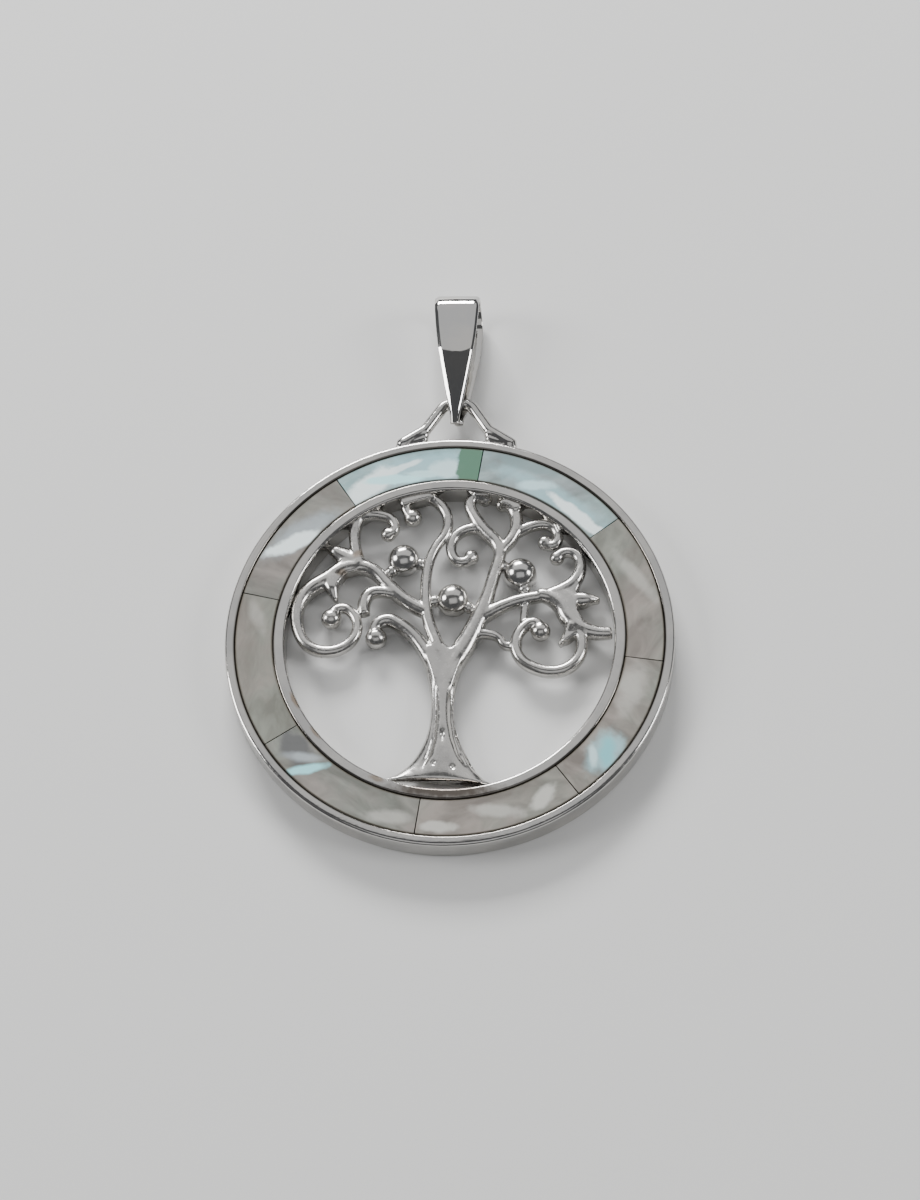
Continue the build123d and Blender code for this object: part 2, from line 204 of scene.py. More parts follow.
# Rows of the trunk: y, left side, right side and share of the branches' height.
trunk = [
    (-0.940, -0.363, 0.367, 0.95), (-0.920, -0.298, 0.297, 0.98), (-0.890, -0.248, 0.252, 1.00),
    (-0.840, -0.188, 0.202, 1.02), (-0.760, -0.135, 0.153, 1.05), (-0.660, -0.095, 0.100, 1.08),
    (-0.540, -0.075, 0.060, 1.08), (-0.400, -0.080, 0.047, 1.06), (-0.270, -0.108, 0.063, 1.02),
    (-0.140, -0.141, 0.091, 0.98), (-0.100, -0.146, 0.095, 0.97), (-0.062, -0.150, 0.098, 0.92)]
# Grooves and dimples in the trunk: depth and half width in mm, then the line that each follows.
grooves = [
    (0.28, 0.20, [(-0.064, -0.290), (-0.045, -0.516), (-0.046, -0.668), (-0.065, -0.766), (-0.105, -0.860)]),
    (0.28, 0.20, [(0.031, -0.290), (0.038, -0.470), (0.046, -0.545), (0.070, -0.652), (0.107, -0.747),
                  (0.165, -0.840)]),
    (0.20, 0.13, [(0.072, -0.565), (0.089, -0.640), (0.119, -0.714), (0.170, -0.798), (0.222, -0.865)]),
    (0.32, 0.18, [(0.002, -0.600), (0.005, -0.690)]),
    (0.34, 0.15, [(-0.040, -0.815), (-0.036, -0.840)]),
    (0.34, 0.15, [(0.076, -0.835), (0.080, -0.862)]),
]


def stations(start_x, start_y, heading, width, arcs, step=0.02):
    """Evenly spaced points along a chain of arcs: x, y, heading and width in mm."""
    total = sum(arc[0] for arc in arcs)
    count = max(2, round(total / step))
    x, y = start_x, start_y
    found = [(x * hole_radius, y * hole_radius, heading, width * hole_radius)]
    walked, index, arc_start = 0.0, 0, 0.0
    for k in range(1, count + 1):
        goal = total * k / count
        while walked < goal - 1e-9:
            length, turn, end_width = arcs[index]
            stride = min(goal, arc_start + length) - walked
            swing = turn * stride / length
            half = radians(swing / 2)
            chord = stride * (sin(half) / half if abs(half) > 1e-6 else 1)
            x += chord * cos(radians(heading + swing / 2))
            y += chord * sin(radians(heading + swing / 2))
            heading += swing
            width += (end_width - width) * stride / (arc_start + length - walked)
            walked += stride
            if walked > arc_start + length - 1e-9 and index < len(arcs) - 1:
                arc_start += length
                index += 1
        found.append((x * hole_radius, y * hole_radius, heading, width * hole_radius))
    return found


def smooth_value(table, place, column):
    """A column of a table at a place between its rows, on a smooth curve."""
    rows = sorted(table)
    if place <= rows[0][0]:
        return rows[0][column]
    if place >= rows[-1][0]:
        return rows[-1][column]
    i = max(k for k in range(len(rows) - 1) if rows[k][0] <= place)
    p1, p2 = rows[i], rows[i + 1]
    p0 = rows[max(i - 1, 0)]
    p3 = rows[min(i + 2, len(rows) - 1)]
    span = p2[0] - p1[0]
    t = (place - p1[0]) / span
    m1 = (p2[column] - p0[column]) / (p2[0] - p0[0]) * span
    m2 = (p3[column] - p1[column]) / (p3[0] - p1[0]) * span
    a, b = p1[column], p2[column]
    return ((2 * t ** 3 - 3 * t ** 2 + 1) * a + (t ** 3 - 2 * t ** 2 + t) * m1
            + (3 * t ** 2 - 2 * t ** 3) * b + (t ** 3 - t ** 2) * m2)


def add_tube(bm, rings):
    """Joins rings of points, each as long as the last, into a closed tube."""
    made = [[bm.verts.new(p) for p in ring] for ring in rings]
    n = len(made[0])
    for a, b in zip(made, made[1:]):
        for i in range(n):
            bm.faces.new((a[i], a[(i + 1) % n], b[(i + 1) % n], b[i]))
    bm.faces.new(list(reversed(made[0])))
    bm.faces.new(made[-1])


def slice_ring(x, y, heading, width, base, crown, sides=20):
    """A flat-backed, round-topped slice across a branch."""
    a = radians(heading)
    shoulder = crown - min(0.5 * width, 0.55 * (crown - base))
    ring = []
    for i in range(sides):
        t = 2 * pi * (i + 0.5) / sides
        c, s = cos(t), sin(t)
        if s >= 0:
            across = 0.5 * width * (1 if c > 0 else -1) * abs(c) ** 0.95
            z = shoulder + (crown - shoulder) * s
        else:
            across = 0.5 * width * (1 if c > 0 else -1) * abs(c) ** 0.45
            z = shoulder - (shoulder - base) * abs(s) ** 0.6
        ring.append(Vector((x + across * sin(a), y - across * cos(a), z)))
    return ring


def add_ball(bm, centre, radius, segments=32):
    bmesh.ops.create_uvsphere(bm, u_segments=segments, v_segments=segments // 2, radius=radius,
                              matrix=Matrix.Translation(centre))


def turned(point):
    """A point of the tree after the tree is turned in the ring."""
    a = radians(tree_turn)
    return Vector((point[0] * cos(a) - point[1] * sin(a), point[0] * sin(a) + point[1] * cos(a), point[2]))


def finished(name, bm, material, body, nodes, smooth=True):
    """Moves a mesh in mm into the frame and makes it a piece."""
    for v in bm.verts:
        v.co = Vector((v.co.x, v.co.y + SHIFT, v.co.z)) * MM
    bmesh.ops.recalc_face_normals(bm, faces=bm.faces)
    mesh = bpy.data.meshes.new(name)
    bm.to_mesh(mesh)
    bm.free()
    obj = bpy.data.objects.new(name, mesh)
    bpy.context.collection.objects.link(obj)
    if smooth:
        mesh.polygons.foreach_set("use_smooth", [True] * len(mesh.polygons))
    mesh.materials.append(material)
    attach(obj, body)
    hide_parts(*nodes)
    return obj


def remeshed(bm, voxel, rounds, factor=0.5):
    """The union of overlapping closed shapes with softly filled corners, still in mm."""
    mesh = bpy.data.meshes.new("union")
    bm.to_mesh(mesh)
    bm.free()
    obj = bpy.data.objects.new("union", mesh)
    bpy.context.collection.objects.link(obj)
    remesh = obj.modifiers.new("remesh", "REMESH")
    remesh.mode = "VOXEL"
    remesh.voxel_size = voxel
    remesh.adaptivity = 0
    relax = obj.modifiers.new("relax", "SMOOTH")
    relax.factor = factor
    relax.iterations = rounds
    depsgraph = bpy.context.evaluated_depsgraph_get()
    done = bpy.data.meshes.new_from_object(obj.evaluated_get(depsgraph))
    out = bmesh.new()
    out.from_mesh(done)
    bpy.data.objects.remove(obj)
    bpy.data.meshes.remove(mesh)
    bpy.data.meshes.remove(done)
    return out


# Materials

def node_material(name):
    material = bpy.data.materials.new(name)
    material.use_nodes = True
    tree = material.node_tree
    shader = tree.nodes["Principled BSDF"]
    return material, tree, shader


def add(tree, kind, **values):
    node = tree.nodes.new(kind)
    for key, value in values.items():
        if key in node.inputs:
            node.inputs[key].default_value = value
        else:
            setattr(node, key, value)
    return node


def moved(tree, operation, place, by):
    """Takes fixed numbers off a place, or multiplies it by them."""
    node = add(tree, "ShaderNodeVectorMath", operation=operation)
    node.inputs[1].default_value = by
    tree.links.new(place, node.inputs[0])
    return node.outputs["Vector"]


def spun(tree, place, angle):
    """Turns a place back about the Z axis by an angle in degrees."""
    node = add(tree, "ShaderNodeVectorRotate", rotation_type="Z_AXIS")
    node.inputs["Angle"].default_value = -radians(angle)
    tree.links.new(place, node.inputs["Vector"])
    return node.outputs["Vector"]


def length_of(tree, place):
    node = add(tree, "ShaderNodeVectorMath", operation="LENGTH")
    tree.links.new(place, node.inputs[0])
    return node.outputs["Value"]


def noise_at(tree, place, **values):
    node = add(tree, "ShaderNodeTexNoise", **values)
    tree.links.new(place, node.inputs["Vector"])
    return node.outputs["Fac"]


def times_plus(tree, value, factor, extra):
    """A value times a fixed factor, plus another value."""
    node = add(tree, "ShaderNodeMath", operation="MULTIPLY_ADD")
    node.inputs[1].default_value = factor
    tree.links.new(value, node.inputs[0])
    tree.links.new(extra, node.inputs[2])
    return node.outputs["Value"]


def carried(tree, value, span, result, curve="SMOOTHSTEP"):
    """Carries a value from one span to another and holds it at both ends."""
    node = add(tree, "ShaderNodeMapRange", interpolation_type=curve)
    node.inputs["From Min"].default_value, node.inputs["From Max"].default_value = span
    node.inputs["To Min"].default_value, node.inputs["To Max"].default_value = result
    tree.links.new(value, node.inputs["Value"])
    return node.outputs["Result"]


def two_tones(tree, value, low, low_tone, high, high_tone):
    """One tone up to the low value, another from the high value on."""
    node = add(tree, "ShaderNodeValToRGB")
    stops = node.color_ramp.elements
    stops[0].position, stops[0].color = low, tuple(low_tone) + (1,)
    stops[1].position, stops[1].color = high, tuple(high_tone) + (1,)
    tree.links.new(value, node.inputs["Fac"])
    return node.outputs["Color"]


def add_bump(tree, shader, height, strength, distance):
    bump = add(tree, "ShaderNodeBump", Strength=strength, Distance=distance)
    tree.links.new(height, bump.inputs["Height"])
    tree.links.new(bump.outputs["Normal"], shader.inputs["Normal"])


def centred_place(tree):
    """The place on the object about the centre of the ring, in metres."""
    where = add(tree, "ShaderNodeTexCoord")
    return moved(tree, "SUBTRACT", where.outputs["Object"], (0, SHIFT * MM, 0))


def patch_mask(tree, centred, x, y, long, wide, angle, soft, wobble, grain):
    """1 inside an oval patch with an uneven edge, 0 outside. Sizes in mm, angle in degrees."""
    place = spun(tree, moved(tree, "SUBTRACT", centred, (x * MM, y * MM, 0)), angle)
    far = length_of(tree, moved(tree, "MULTIPLY", place, (1 / (long * MM), 1 / (wide * MM), 0)))
    uneven = noise_at(tree, centred, Scale=grain, Detail=3.0)
    edge = 1.0 + wobble / 2
    return carried(tree, times_plus(tree, uneven, wobble, far), (edge - soft, edge + soft), (1.0, 0.0))


def painted(tree, under, mask, color, strength=1.0):
    """A colour laid over another where the mask is 1."""
    lay = add(tree, "ShaderNodeMix", data_type="RGBA", blend_type="MIX")
    lay.inputs["B"].default_value = tuple(color) + (1,)
    if strength != 1.0:
        part = add(tree, "ShaderNodeMath", operation="MULTIPLY")
        part.inputs[1].default_value = strength
        tree.links.new(mask, part.inputs[0])
        mask = part.outputs["Value"]
    tree.links.new(mask, lay.inputs["Factor"])
    tree.links.new(under, lay.inputs["A"])
    return lay.outputs["Result"]


def channel_mask(tree, centred, near, far, at_near, at_far):
    """Runs from one value to the other between two distances from the middle line of the channel."""
    reach = length_of(tree, moved(tree, "MULTIPLY", centred, (1 / MM, 1 / MM, 0)))
    away = add(tree, "ShaderNodeMath", operation="SUBTRACT")
    away.inputs[1].default_value = (outer_rim_inner + inner_rim_outer) / 2
    tree.links.new(reach, away.inputs[0])
    both = add(tree, "ShaderNodeMath", operation="ABSOLUTE")
    tree.links.new(away.outputs["Value"], both.inputs[0])
    return carried(tree, both.outputs["Value"], (near, far), (at_near, at_far))


def silver_material(name, roughness, scratch, tarnish, low=None, stains=(), dark_rim_edges=False):
    """Polished silver with fine scratches, soft dents and faint tarnish; below a given height painted shade
    darkens it, which on the cast tree also stands partly for oxide in its hollows.
    """
    material, tree, shader = node_material(name)
    shader.inputs["Metallic"].default_value = 1.0
    centred = centred_place(tree)
    broad = noise_at(tree, centred, Scale=260.0, Detail=3.0, Roughness=0.6)
    worn = [0.57 - tarnish * k for k in (0.25, 0.28, 0.33)]
    color = two_tones(tree, broad, 0.38, worn, 0.60, (0.60, 0.585, 0.56))
    # Painted shade: below the given height the colour darkens towards deep grey, for the shade on the
    # undersides and low in the work. On the cast tree it also stands partly for oxide in its hollows.
    if low:
        split = add(tree, "ShaderNodeSeparateXYZ")
        tree.links.new(centred, split.inputs[0])
        depth = carried(tree, split.outputs["Z"], (low[0] * MM, low[1] * MM), (low[2], 0.0))
        color = painted(tree, color, depth, (0.16, 0.15, 0.135))
    # A darker strip along the rims' edges beside the shell.
    if dark_rim_edges:
        rim_edge_mask = channel_mask(tree, centred, channel_half + 0.03, channel_half + 0.20, 0.75, 0.0)
        color = painted(tree, color, rim_edge_mask, (0.12, 0.105, 0.085))
    for x, y, long, wide, angle, tone, strength in stains:
        mask = patch_mask(tree, centred, x, y, long, wide, angle, 0.5, 0.8, 1800.0)
        color = painted(tree, color, mask, tone, strength)
    tree.links.new(color, shader.inputs["Base Color"])
    fine = noise_at(tree, centred, Scale=2600.0, Detail=4.0, Roughness=0.65)
    rough = carried(tree, fine, (0.3, 0.7), (roughness * 0.7, roughness * 1.5), "LINEAR")
    tree.links.new(rough, shader.inputs["Roughness"])
    waves = noise_at(tree, centred, Scale=900.0, Detail=2.0, Roughness=0.5)
    stretch = add(tree, "ShaderNodeMapping")
    stretch.inputs["Scale"].default_value = (0.12, 1.0, 1.0)
    stretch.inputs["Rotation"].default_value = (0, 0, 0.6)
    tree.links.new(centred, stretch.inputs["Vector"])
    lines = noise_at(tree, stretch.outputs["Vector"], Scale=9000.0, Detail=1.0)
    add_bump(tree, shader, times_plus(tree, lines, scratch, waves), 0.25, 0.06 * MM)
    return material


def polar(radius, angle):
    """A place on the turned inlay, in mm from the centre of the ring."""
    a = radians(angle + tree_turn)
    return (radius * cos(a), radius * sin(a))


# Stains: brown tarnish spots, and under the trunk foot a black-brown patch that is solder burn and partly the
# trunk's painted shadow.
brown, soot_and_shadow = (0.26, 0.16, 0.075), (0.07, 0.05, 0.035)
stains = [
    (-12.1, -5.7, 0.7, 0.20, -62, brown, 0.6), (-10.3, -8.5, 0.6, 0.18, -50, brown, 0.5),
    (-5.3, -12.4, 0.6, 0.25, -20, brown, 0.5), (-7.6, 7.6, 0.5, 0.3, 40, brown, 0.5),
    (-8.9, 5.9, 0.4, 0.3, 10, brown, 0.5), (-0.1, -13.3, 3.9, 0.75, 0, soot_and_shadow, 0.85)]
silver = silver_material("polished_silver", 0.13, 0.15, 0.25, None, stains, True)
strap_silver = silver_material("strap_silver", 0.06, 0.04, 0.10)
# The cast tree and the fruits get painted shade low down: the three numbers after the tarnish.
tree_silver = silver_material("cast_silver", 0.21, 0.12, 0.3, (0.4, 1.25, 0.60), stains)
mirror_silver = silver_material("fruit_silver", 0.17, 0.08, 0.10, (0.2, 0.8, 0.5))


def pearl_material(name, dark, light, grain, patches):
    """Mother-of-pearl: cloudy growth bands and patches, the bright ones partly painted sheen, under a clear
    polish, darker towards its edges.
    """
    material, tree, shader = node_material(name)
    centred = centred_place(tree)
    stretched = moved(tree, "MULTIPLY", spun(tree, centred, grain), (0.4, 1.0, 1.0))
    bands = noise_at(tree, stretched, Scale=600.0, Detail=4.0, Roughness=0.55, Distortion=0.7)
    bend = noise_at(tree, centred, Scale=220.0, Detail=3.0, Roughness=0.55)
    toned = add(tree, "ShaderNodeMix", data_type="RGBA", blend_type="MULTIPLY")
    toned.inputs["Factor"].default_value = 1.0
    tints = two_tones(tree, bend, 0.38, (0.90, 0.98, 0.95), 0.62, (1.0, 0.95, 0.95))
    tree.links.new(two_tones(tree, bands, 0.34, dark, 0.66, light), toned.inputs["A"])
    tree.links.new(tints, toned.inputs["B"])
    out = toned.outputs["Result"]
    # Patches of the shell's own colour; the bright ones are partly painted sheen where the nacre flashes.
    for radius, angle, long, wide, turn, soft, color, strength in patches:
        x, y = polar(radius, angle)
        mask = patch_mask(tree, centred, x, y, long, wide, angle + tree_turn + 90 + turn, soft, 1.1, 900.0)
        out = painted(tree, out, mask, color, strength)
    # A darker strip along the shell's edges beside the rims.
    edges = channel_mask(tree, centred, channel_half - 0.24, channel_half - 0.08, 0.0, 0.85)
    tree.links.new(painted(tree, out, edges, (0.10, 0.09, 0.07)), shader.inputs["Base Color"])
    shader.inputs["Roughness"].default_value = 0.26
    shader.inputs["Coat Weight"].default_value = 0.5
    shader.inputs["Coat Roughness"].default_value = 0.10
    shader.inputs["Subsurface Weight"].default_value = 0.1
    shader.inputs["Subsurface Radius"].default_value = (0.0006, 0.0006, 0.0005)
    shader.inputs["Subsurface Scale"].default_value = 1.0
    add_bump(tree, shader, bands, 0.08, 0.05 * MM)
    return material


# Each piece of shell: its dark and light tone, the way its bands run in degrees, and its patches as
# radius and angle in the ring, half length along the ring, half width, turn, softness, colour, strength.
dull, plain = (0.165, 0.155, 0.137), (0.30, 0.285, 0.255)
# The ice and frost tones and the pale cyan patches are partly the shell's own colour and partly painted sheen
# where the nacre flashes.
ice, frost, sea, leaf = (0.88, 1.0, 1.0), (0.36, 0.59, 0.64), (0.20, 0.58, 0.63), (0.07, 0.18, 0.11)
cloud = (0.52, 0.515, 0.475)
pearl_looks = {
    "pearl_top_right": ((0.20, 0.25, 0.25), (0.34, 0.42, 0.43), 20, [
        (15.0, 60, 5.0, 0.9, 0, 0.5, frost, 0.7), (14.85, 48.5, 3.0, 0.50, 3, 0.25, ice, 1.0),
        (16.6, 72, 3.0, 0.5, 0, 0.5, (0.20, 0.30, 0.31), 0.7),
        (15.2, 66.5, 1.6, 0.45, 25, 0.35, (0.60, 0.84, 0.88), 0.8)]),
    "pearl_right_upper": (dull, plain, 60, [(15.8, 22, 2.5, 0.5, 20, 0.6, cloud, 0.5)]),
    "pearl_right_lower": (dull, plain, -40, [
        (16.0, -36.5, 1.9, 1.2, 10, 0.4, frost, 0.8), (16.1, -36.0, 1.2, 0.55, 35, 0.55, sea, 0.9),
        (15.5, -39.5, 0.9, 0.3, 50, 0.5, (0.66, 0.86, 0.88), 0.7),
        (15.2, -15, 2.0, 0.9, 0, 0.6, cloud, 0.6)]),
    "pearl_bottom_right": (dull, plain, 15, [
        (15.9, -58.5, 1.2, 0.6, 20, 0.35, cloud, 1.0), (16.4, -89, 1.3, 0.45, 0, 0.35, cloud, 0.9),
        (15.6, -72, 1.8, 0.5, -20, 0.5, cloud, 0.7)]),
    "pearl_bottom_left": ((0.15, 0.146, 0.130), (0.28, 0.27, 0.245), -30, [
        (15.3, -137.5, 1.7, 1.1, 0, 0.35, (0.09, 0.09, 0.095), 0.85),
        (15.9, -130.5, 1.6, 0.34, 55, 0.45, (0.36, 0.80, 0.86), 1.0),
        (15.4, -134, 1.3, 0.36, 40, 0.6, (0.46, 0.52, 0.55), 0.7),
        (16.2, -103, 1.8, 0.5, 10, 0.5, cloud, 0.6)]),
    "pearl_left_lower": ((0.17, 0.158, 0.137), (0.27, 0.258, 0.228), 80, [
        (15.6, 176, 1.6, 0.5, 30, 0.6, cloud, 0.35)]),
    "pearl_left_upper": ((0.17, 0.163, 0.147), (0.28, 0.27, 0.245), -20, [
        (15.4, 146, 3.0, 1.0, -20, 0.6, (0.42, 0.48, 0.52), 0.7),
        (15.3, 149.5, 2.4, 0.62, -32, 0.3, ice, 1.0)]),
    "pearl_top_left": ((0.22, 0.36, 0.38), (0.42, 0.56, 0.58), 10, [
        (15.4, 100, 4.6, 1.3, 0, 0.35, frost, 0.8), (15.2, 119.5, 2.3, 1.0, 14, 0.3, ice, 1.0),
        (15.0, 111.5, 2.4, 0.40, -16, 0.3, (0.55, 0.95, 0.98), 0.95),
        (15.9, 108, 1.6, 0.28, 8, 0.3, ice, 0.8),
        (14.9, 102, 1.5, 0.30, -12, 0.3, (0.60, 0.90, 0.92), 0.8),
        (15.2, 94.5, 1.3, 0.8, 0, 0.3, (0.66, 0.88, 0.90), 0.8),
        (15.6, 87.7, 1.05, 4.0, 0, 0.12, leaf, 0.97)]),
}
for name, look in pearl_looks.items():
    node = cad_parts[name]
    node.data.materials.clear()
    node.data.materials.append(pearl_material(name + "_shell", *look))


# The ring: a channel turned about the Z axis, with softly worn rims.

def rounded_profile(points, steps=5):
    """A closed profile of (radius, height, corner radius) with its corners rounded."""
    out = []
    n = len(points)
    for i in range(n):
        x, z, r = points[i]
        if r == 0:
            out.append((x, z))
            continue
        before = Vector(points[i - 1][:2]) - Vector((x, z))
        after = Vector(points[(i + 1) % n][:2]) - Vector((x, z))
        a = Vector((x, z)) + before.normalized() * r
        b = Vector((x, z)) + after.normalized() * r
        for k in range(steps + 1):
            t = k / steps
            p = a * (1 - t) ** 2 + Vector((x, z)) * 2 * t * (1 - t) + b * t ** 2
            out.append((p.x, p.y))
    return out


def make_ring():
    profile = rounded_profile([
        (hole_radius, 0, 0.15), (ring_radius, 0, 0.15), (ring_radius, ring_height, rim_round * 1.25),
        (outer_rim_inner, ring_height, rim_round * 0.6), (outer_rim_inner, channel_floor, 0),
        (inner_rim_outer, channel_floor, 0), (inner_rim_outer, ring_height, rim_round * 0.6),
        (hole_radius, ring_height, rim_round * 1.1)])
    bm = bmesh.new()
    turns = 360
    rings = []
    for i in range(turns):
        a = 2 * pi * i / turns
        row = []
        for r, z in profile:
            wear = noise.noise(Vector((cos(a) * 3.1, sin(a) * 3.1, r * 0.7)))
            small = noise.noise(Vector((cos(a) * 14, sin(a) * 14, r * 2.0 + z)))
            rim = 1.0 if z > ring_height - 0.4 else 0.4
            rr = r + (0.020 * wear + 0.010 * small) * rim * (0.3 if r > 17.5 else 1)
            zz = z + (0.012 * wear + 0.008 * small) * (1 if z > ring_height - 0.4 else 0)
            zz = min(zz, ring_height)
            row.append(bm.verts.new((rr * cos(a), rr * sin(a), zz)))
        rings.append(row)
    n = len(profile)
    for i in range(turns):
        a, b = rings[i], rings[(i + 1) % turns]
        for k in range(n):
            bm.faces.new((a[k], b[k], b[(k + 1) % n], a[(k + 1) % n]))
    return finished("ring", bm, silver, "pendant", ["frame"])


def make_tree():
    bm = bmesh.new()
    for row in branches.values():
        start_x, start_y, heading, width, lift, tip, arcs = row
        places = stations(start_x, start_y, heading, width, arcs)
        rings = []
        for k, (x, y, angle, wide) in enumerate(places):
            crown = tree_back + lift + branch_height * min(1, 0.62 + 0.45 * wide)
            base = max(tree_back + lift / 2, crown - max(0.8, 1.25 * wide))
            if start_y < limb_line:
                crown -= limb_sink * max(0, 1 - k / limb_sink_stations)
            rings.append(slice_ring(x, y, angle, wide + branch_growth, base, crown + 0.02))
        add_tube(bm, rings)
        if tip:
            add_ball(bm, Vector((places[-1][0], places[-1][1], tip_level)), tip * hole_radius + ball_growth)
    rings = []
    for k in range(trunk_rows):
        y = trunk_foot + (trunk_top - trunk_foot) * k / (trunk_rows - 1)
        left, right, share = [smooth_value(trunk, y, column) for column in (1, 2, 3)]
        crown = tree_back + branch_height * share
        middle, half = (left + right) / 2 * hole_radius, (right - left) / 2 * hole_radius
        ring = slice_ring(middle, y * hole_radius, 90, 2 * half + trunk_growth, tree_back, crown, 28)
        arch = root_arch * min(1, max(0, (-0.88 - y) / 0.065))
        for p in ring:
            p.y += arch * max(0, 1 - ((p.x - middle) / half) ** 2)
        rings.append(ring)
    add_tube(bm, rings)
    for index, end_x, end_y in pegs:
        a = Vector((fruits[index][0], fruits[index][1], 0)) * hole_radius
        b = Vector((end_x, end_y, 0)) * hole_radius
        heading = degrees(atan2(b.y - a.y, b.x - a.x))
        low, high = fruit_level - 0.28, fruit_level + 0.30
        middles = [a.lerp(b, t) for t in (0, 0.25, 0.5, 0.75, 1)]
        add_tube(bm, [slice_ring(m.x, m.y, heading, peg_width, low, high, 12) for m in middles])
        drop = a + (b - a).normalized() * (fruits[index][2] * hole_radius + 0.10)
        add_ball(bm, Vector((drop.x, drop.y, fruit_level + 0.1)), drop_radius, 20)
    for level, outline in webs:
        flat = [(x * hole_radius, y * hole_radius) for x, y in outline]
        add_tube(bm, [[Vector((x, y, z)) for x, y in flat] for z in (tree_back + 0.1, level)])
    for v in bm.verts:
        v.co = turned(v.co)
    bm = remeshed(bm, *tree_mesh)
    lines = []
    for depth, wide, line in grooves:
        dense = []
        for (x0, y0), (x1, y1) in zip(line, line[1:]):
            dense += [(x0 + (x1 - x0) * k / 16, y0 + (y1 - y0) * k / 16) for k in range(16)]
        dense.append(line[-1])
        lines.append((depth, wide, [turned((x * hole_radius, y * hole_radius, 0)).to_2d() for x, y in dense]))
    bm.normal_update()
    for v in bm.verts:
        v.co += v.normal * skin_growth
        if v.normal.z < 0.3 or v.co.y > -1 or abs(v.co.x) > 5:
            continue
        p = v.co.to_2d()
        for depth, wide, line in lines:
            near = min(range(len(line)), key=lambda i: (line[i] - p).length_squared)
            d = (line[near] - p).length
            fade = min(1, (near + 1) / groove_fade, (len(line) - near) / groove_fade)
            v.co.z -= depth * fade * exp(-(d / wide) ** 2)
    return finished("tree", bm, tree_silver, "pendant", ["frame"])


def make_fruits():
    for i, (x, y, share) in enumerate(fruits):
        bm = bmesh.new()
        centre = turned((x * hole_radius, y * hole_radius, fruit_level))
        add_ball(bm, centre, share * hole_radius, 64)
        for v in bm.verts:
            v.co.z = max(v.co.z, tree_back - 0.05)
        finished("fruit_%d" % (i + 1), bm, mirror_silver, "pendant", ["frame"])


def arch_path():
    """Points along the arch from its left foot to its right foot."""
    half = [(0.0, arch_top), (arch_flat, arch_top)]
    for k in range(1, 13):
        t = arch_slope * k / 12
        half.append((arch_flat + arch_bend * sin(t), arch_top - arch_bend * (1 - cos(t))))
    x, y = half[-1]
    for k in range(1, 9):
        run = arch_leg * k / 8
        half.append((x + run * cos(arch_slope), y - run * sin(arch_slope)))
    x, y = half[-1]
    for k in range(1, 7):
        t = arch_slope + (arch_foot_slope - arch_slope) * k / 6
        fall = arch_flare * (cos(t) - cos(arch_slope))
        half.append((x + arch_flare * (sin(arch_slope) - sin(t)), y - fall))
    x, y = half[-1]
    for k in range(1, 9):
        run = arch_foot * k / 8
        half.append((x + run * cos(arch_foot_slope), y - run * sin(arch_foot_slope)))
    return [(arch_shift - x, y) for x, y in reversed(half[1:])] + [(arch_shift + x, y) for x, y in half]


def make_arch():
    bm = bmesh.new()
    path = arch_path()
    rings = []
    last = len(path) - 1
    for i, (x, y) in enumerate(path):
        x0, y0 = path[max(i - 1, 0)]
        x1, y1 = path[min(i + 1, last)]
        a = atan2(y1 - y0, x1 - x0)
        end = min(i, last - i)
        r = arch_wire * (1.10 + 0.10 * max(0, 1 - end / 10))
        ring = []
        for k in range(24):
            t = 2 * pi * k / 24
            ring.append(Vector((x - r * cos(t) * sin(a), y + r * cos(t) * cos(a), arch_level + r * sin(t))))
        rings.append(ring)
    add_tube(bm, rings)
    for side in (1, -1):
        x, y = path[-1] if side > 0 else path[0]
        add_ball(bm, Vector((x, y, arch_level)), arch_wire * 1.15, 24)
        for k in range(solder_steps + 1):
            t = k / solder_steps
            for across, along, fall, rise, radius, loss in solder_rows:
                x = arch_shift + side * (across + solder_length * t)
                add_ball(bm, Vector((x, along - fall * t, arch_level + rise)), radius - loss * t, 20)
        flat = [(arch_shift + side * x, y) for x, y in solder_outline]
        add_tube(bm, [[Vector((x, y, z)) for x, y in flat] for z in solder_levels])
    bm = remeshed(bm, *arch_mesh)
    return finished("arch", bm, silver, "pendant", ["frame"])


def touch_angle(low, high):
    """Half the turn between the two sides that touch both circles, and the way from one to the other."""
    away = Vector(high[:2]) - Vector(low[:2])
    return pi / 2 + asin((high[2] - low[2]) / away.length), atan2(away.y, away.x)


def bail_path():
    """The outer side of the strap from its front tip over the fold to its back tip: place, height."""
    side = touch_angle(bail_eye, bail_fold)[0]
    normal = Vector((cos(side), sin(side)))
    start = Vector((bail_tip[0] - bail_tip[2], 0))
    low = Vector(bail_eye[:2]) + normal * bail_eye[2]
    high = Vector(bail_fold[:2]) + normal * bail_fold[2]
    slope = (high.y - low.y) / (high.x - low.x)
    start.y = low.y + (start.x - low.x) * slope
    found = []
    for k in range(front_steps + 1):
        found.append(start.lerp(high, k / front_steps))
    for k in range(1, fold_steps):
        a = side - 2 * side * k / fold_steps
        found.append(Vector(bail_fold[:2]) + Vector((cos(a), sin(a))) * bail_fold[2])
    back_high, back_low = Vector((high.x, -high.y)), Vector((low.x, -low.y))
    for k in range(back_steps + 1):
        found.append(back_high.lerp(back_low, k / back_steps))
    for k in range(1, eye_steps + 1):
        a = -side + (eye_end + side) * k / eye_steps
        found.append(Vector(bail_eye[:2]) + Vector((cos(a), sin(a))) * bail_eye[2])
    p0 = found[-1]
    p3 = Vector((start.x + 0.08, start.y - 2 * bail_wall - 0.02))
    p1 = p0 + Vector((sin(eye_end), -cos(eye_end))) * tip_pull
    p2 = p3 + Vector((1, slope)) * tip_pull
    for k in range(1, tip_steps + 1):
        t = k / tip_steps
        found.append(p0 * (1 - t) ** 3 + p1 * 3 * t * (1 - t) ** 2 + p2 * 3 * t ** 2 * (1 - t) + p3 * t ** 3)
    return found


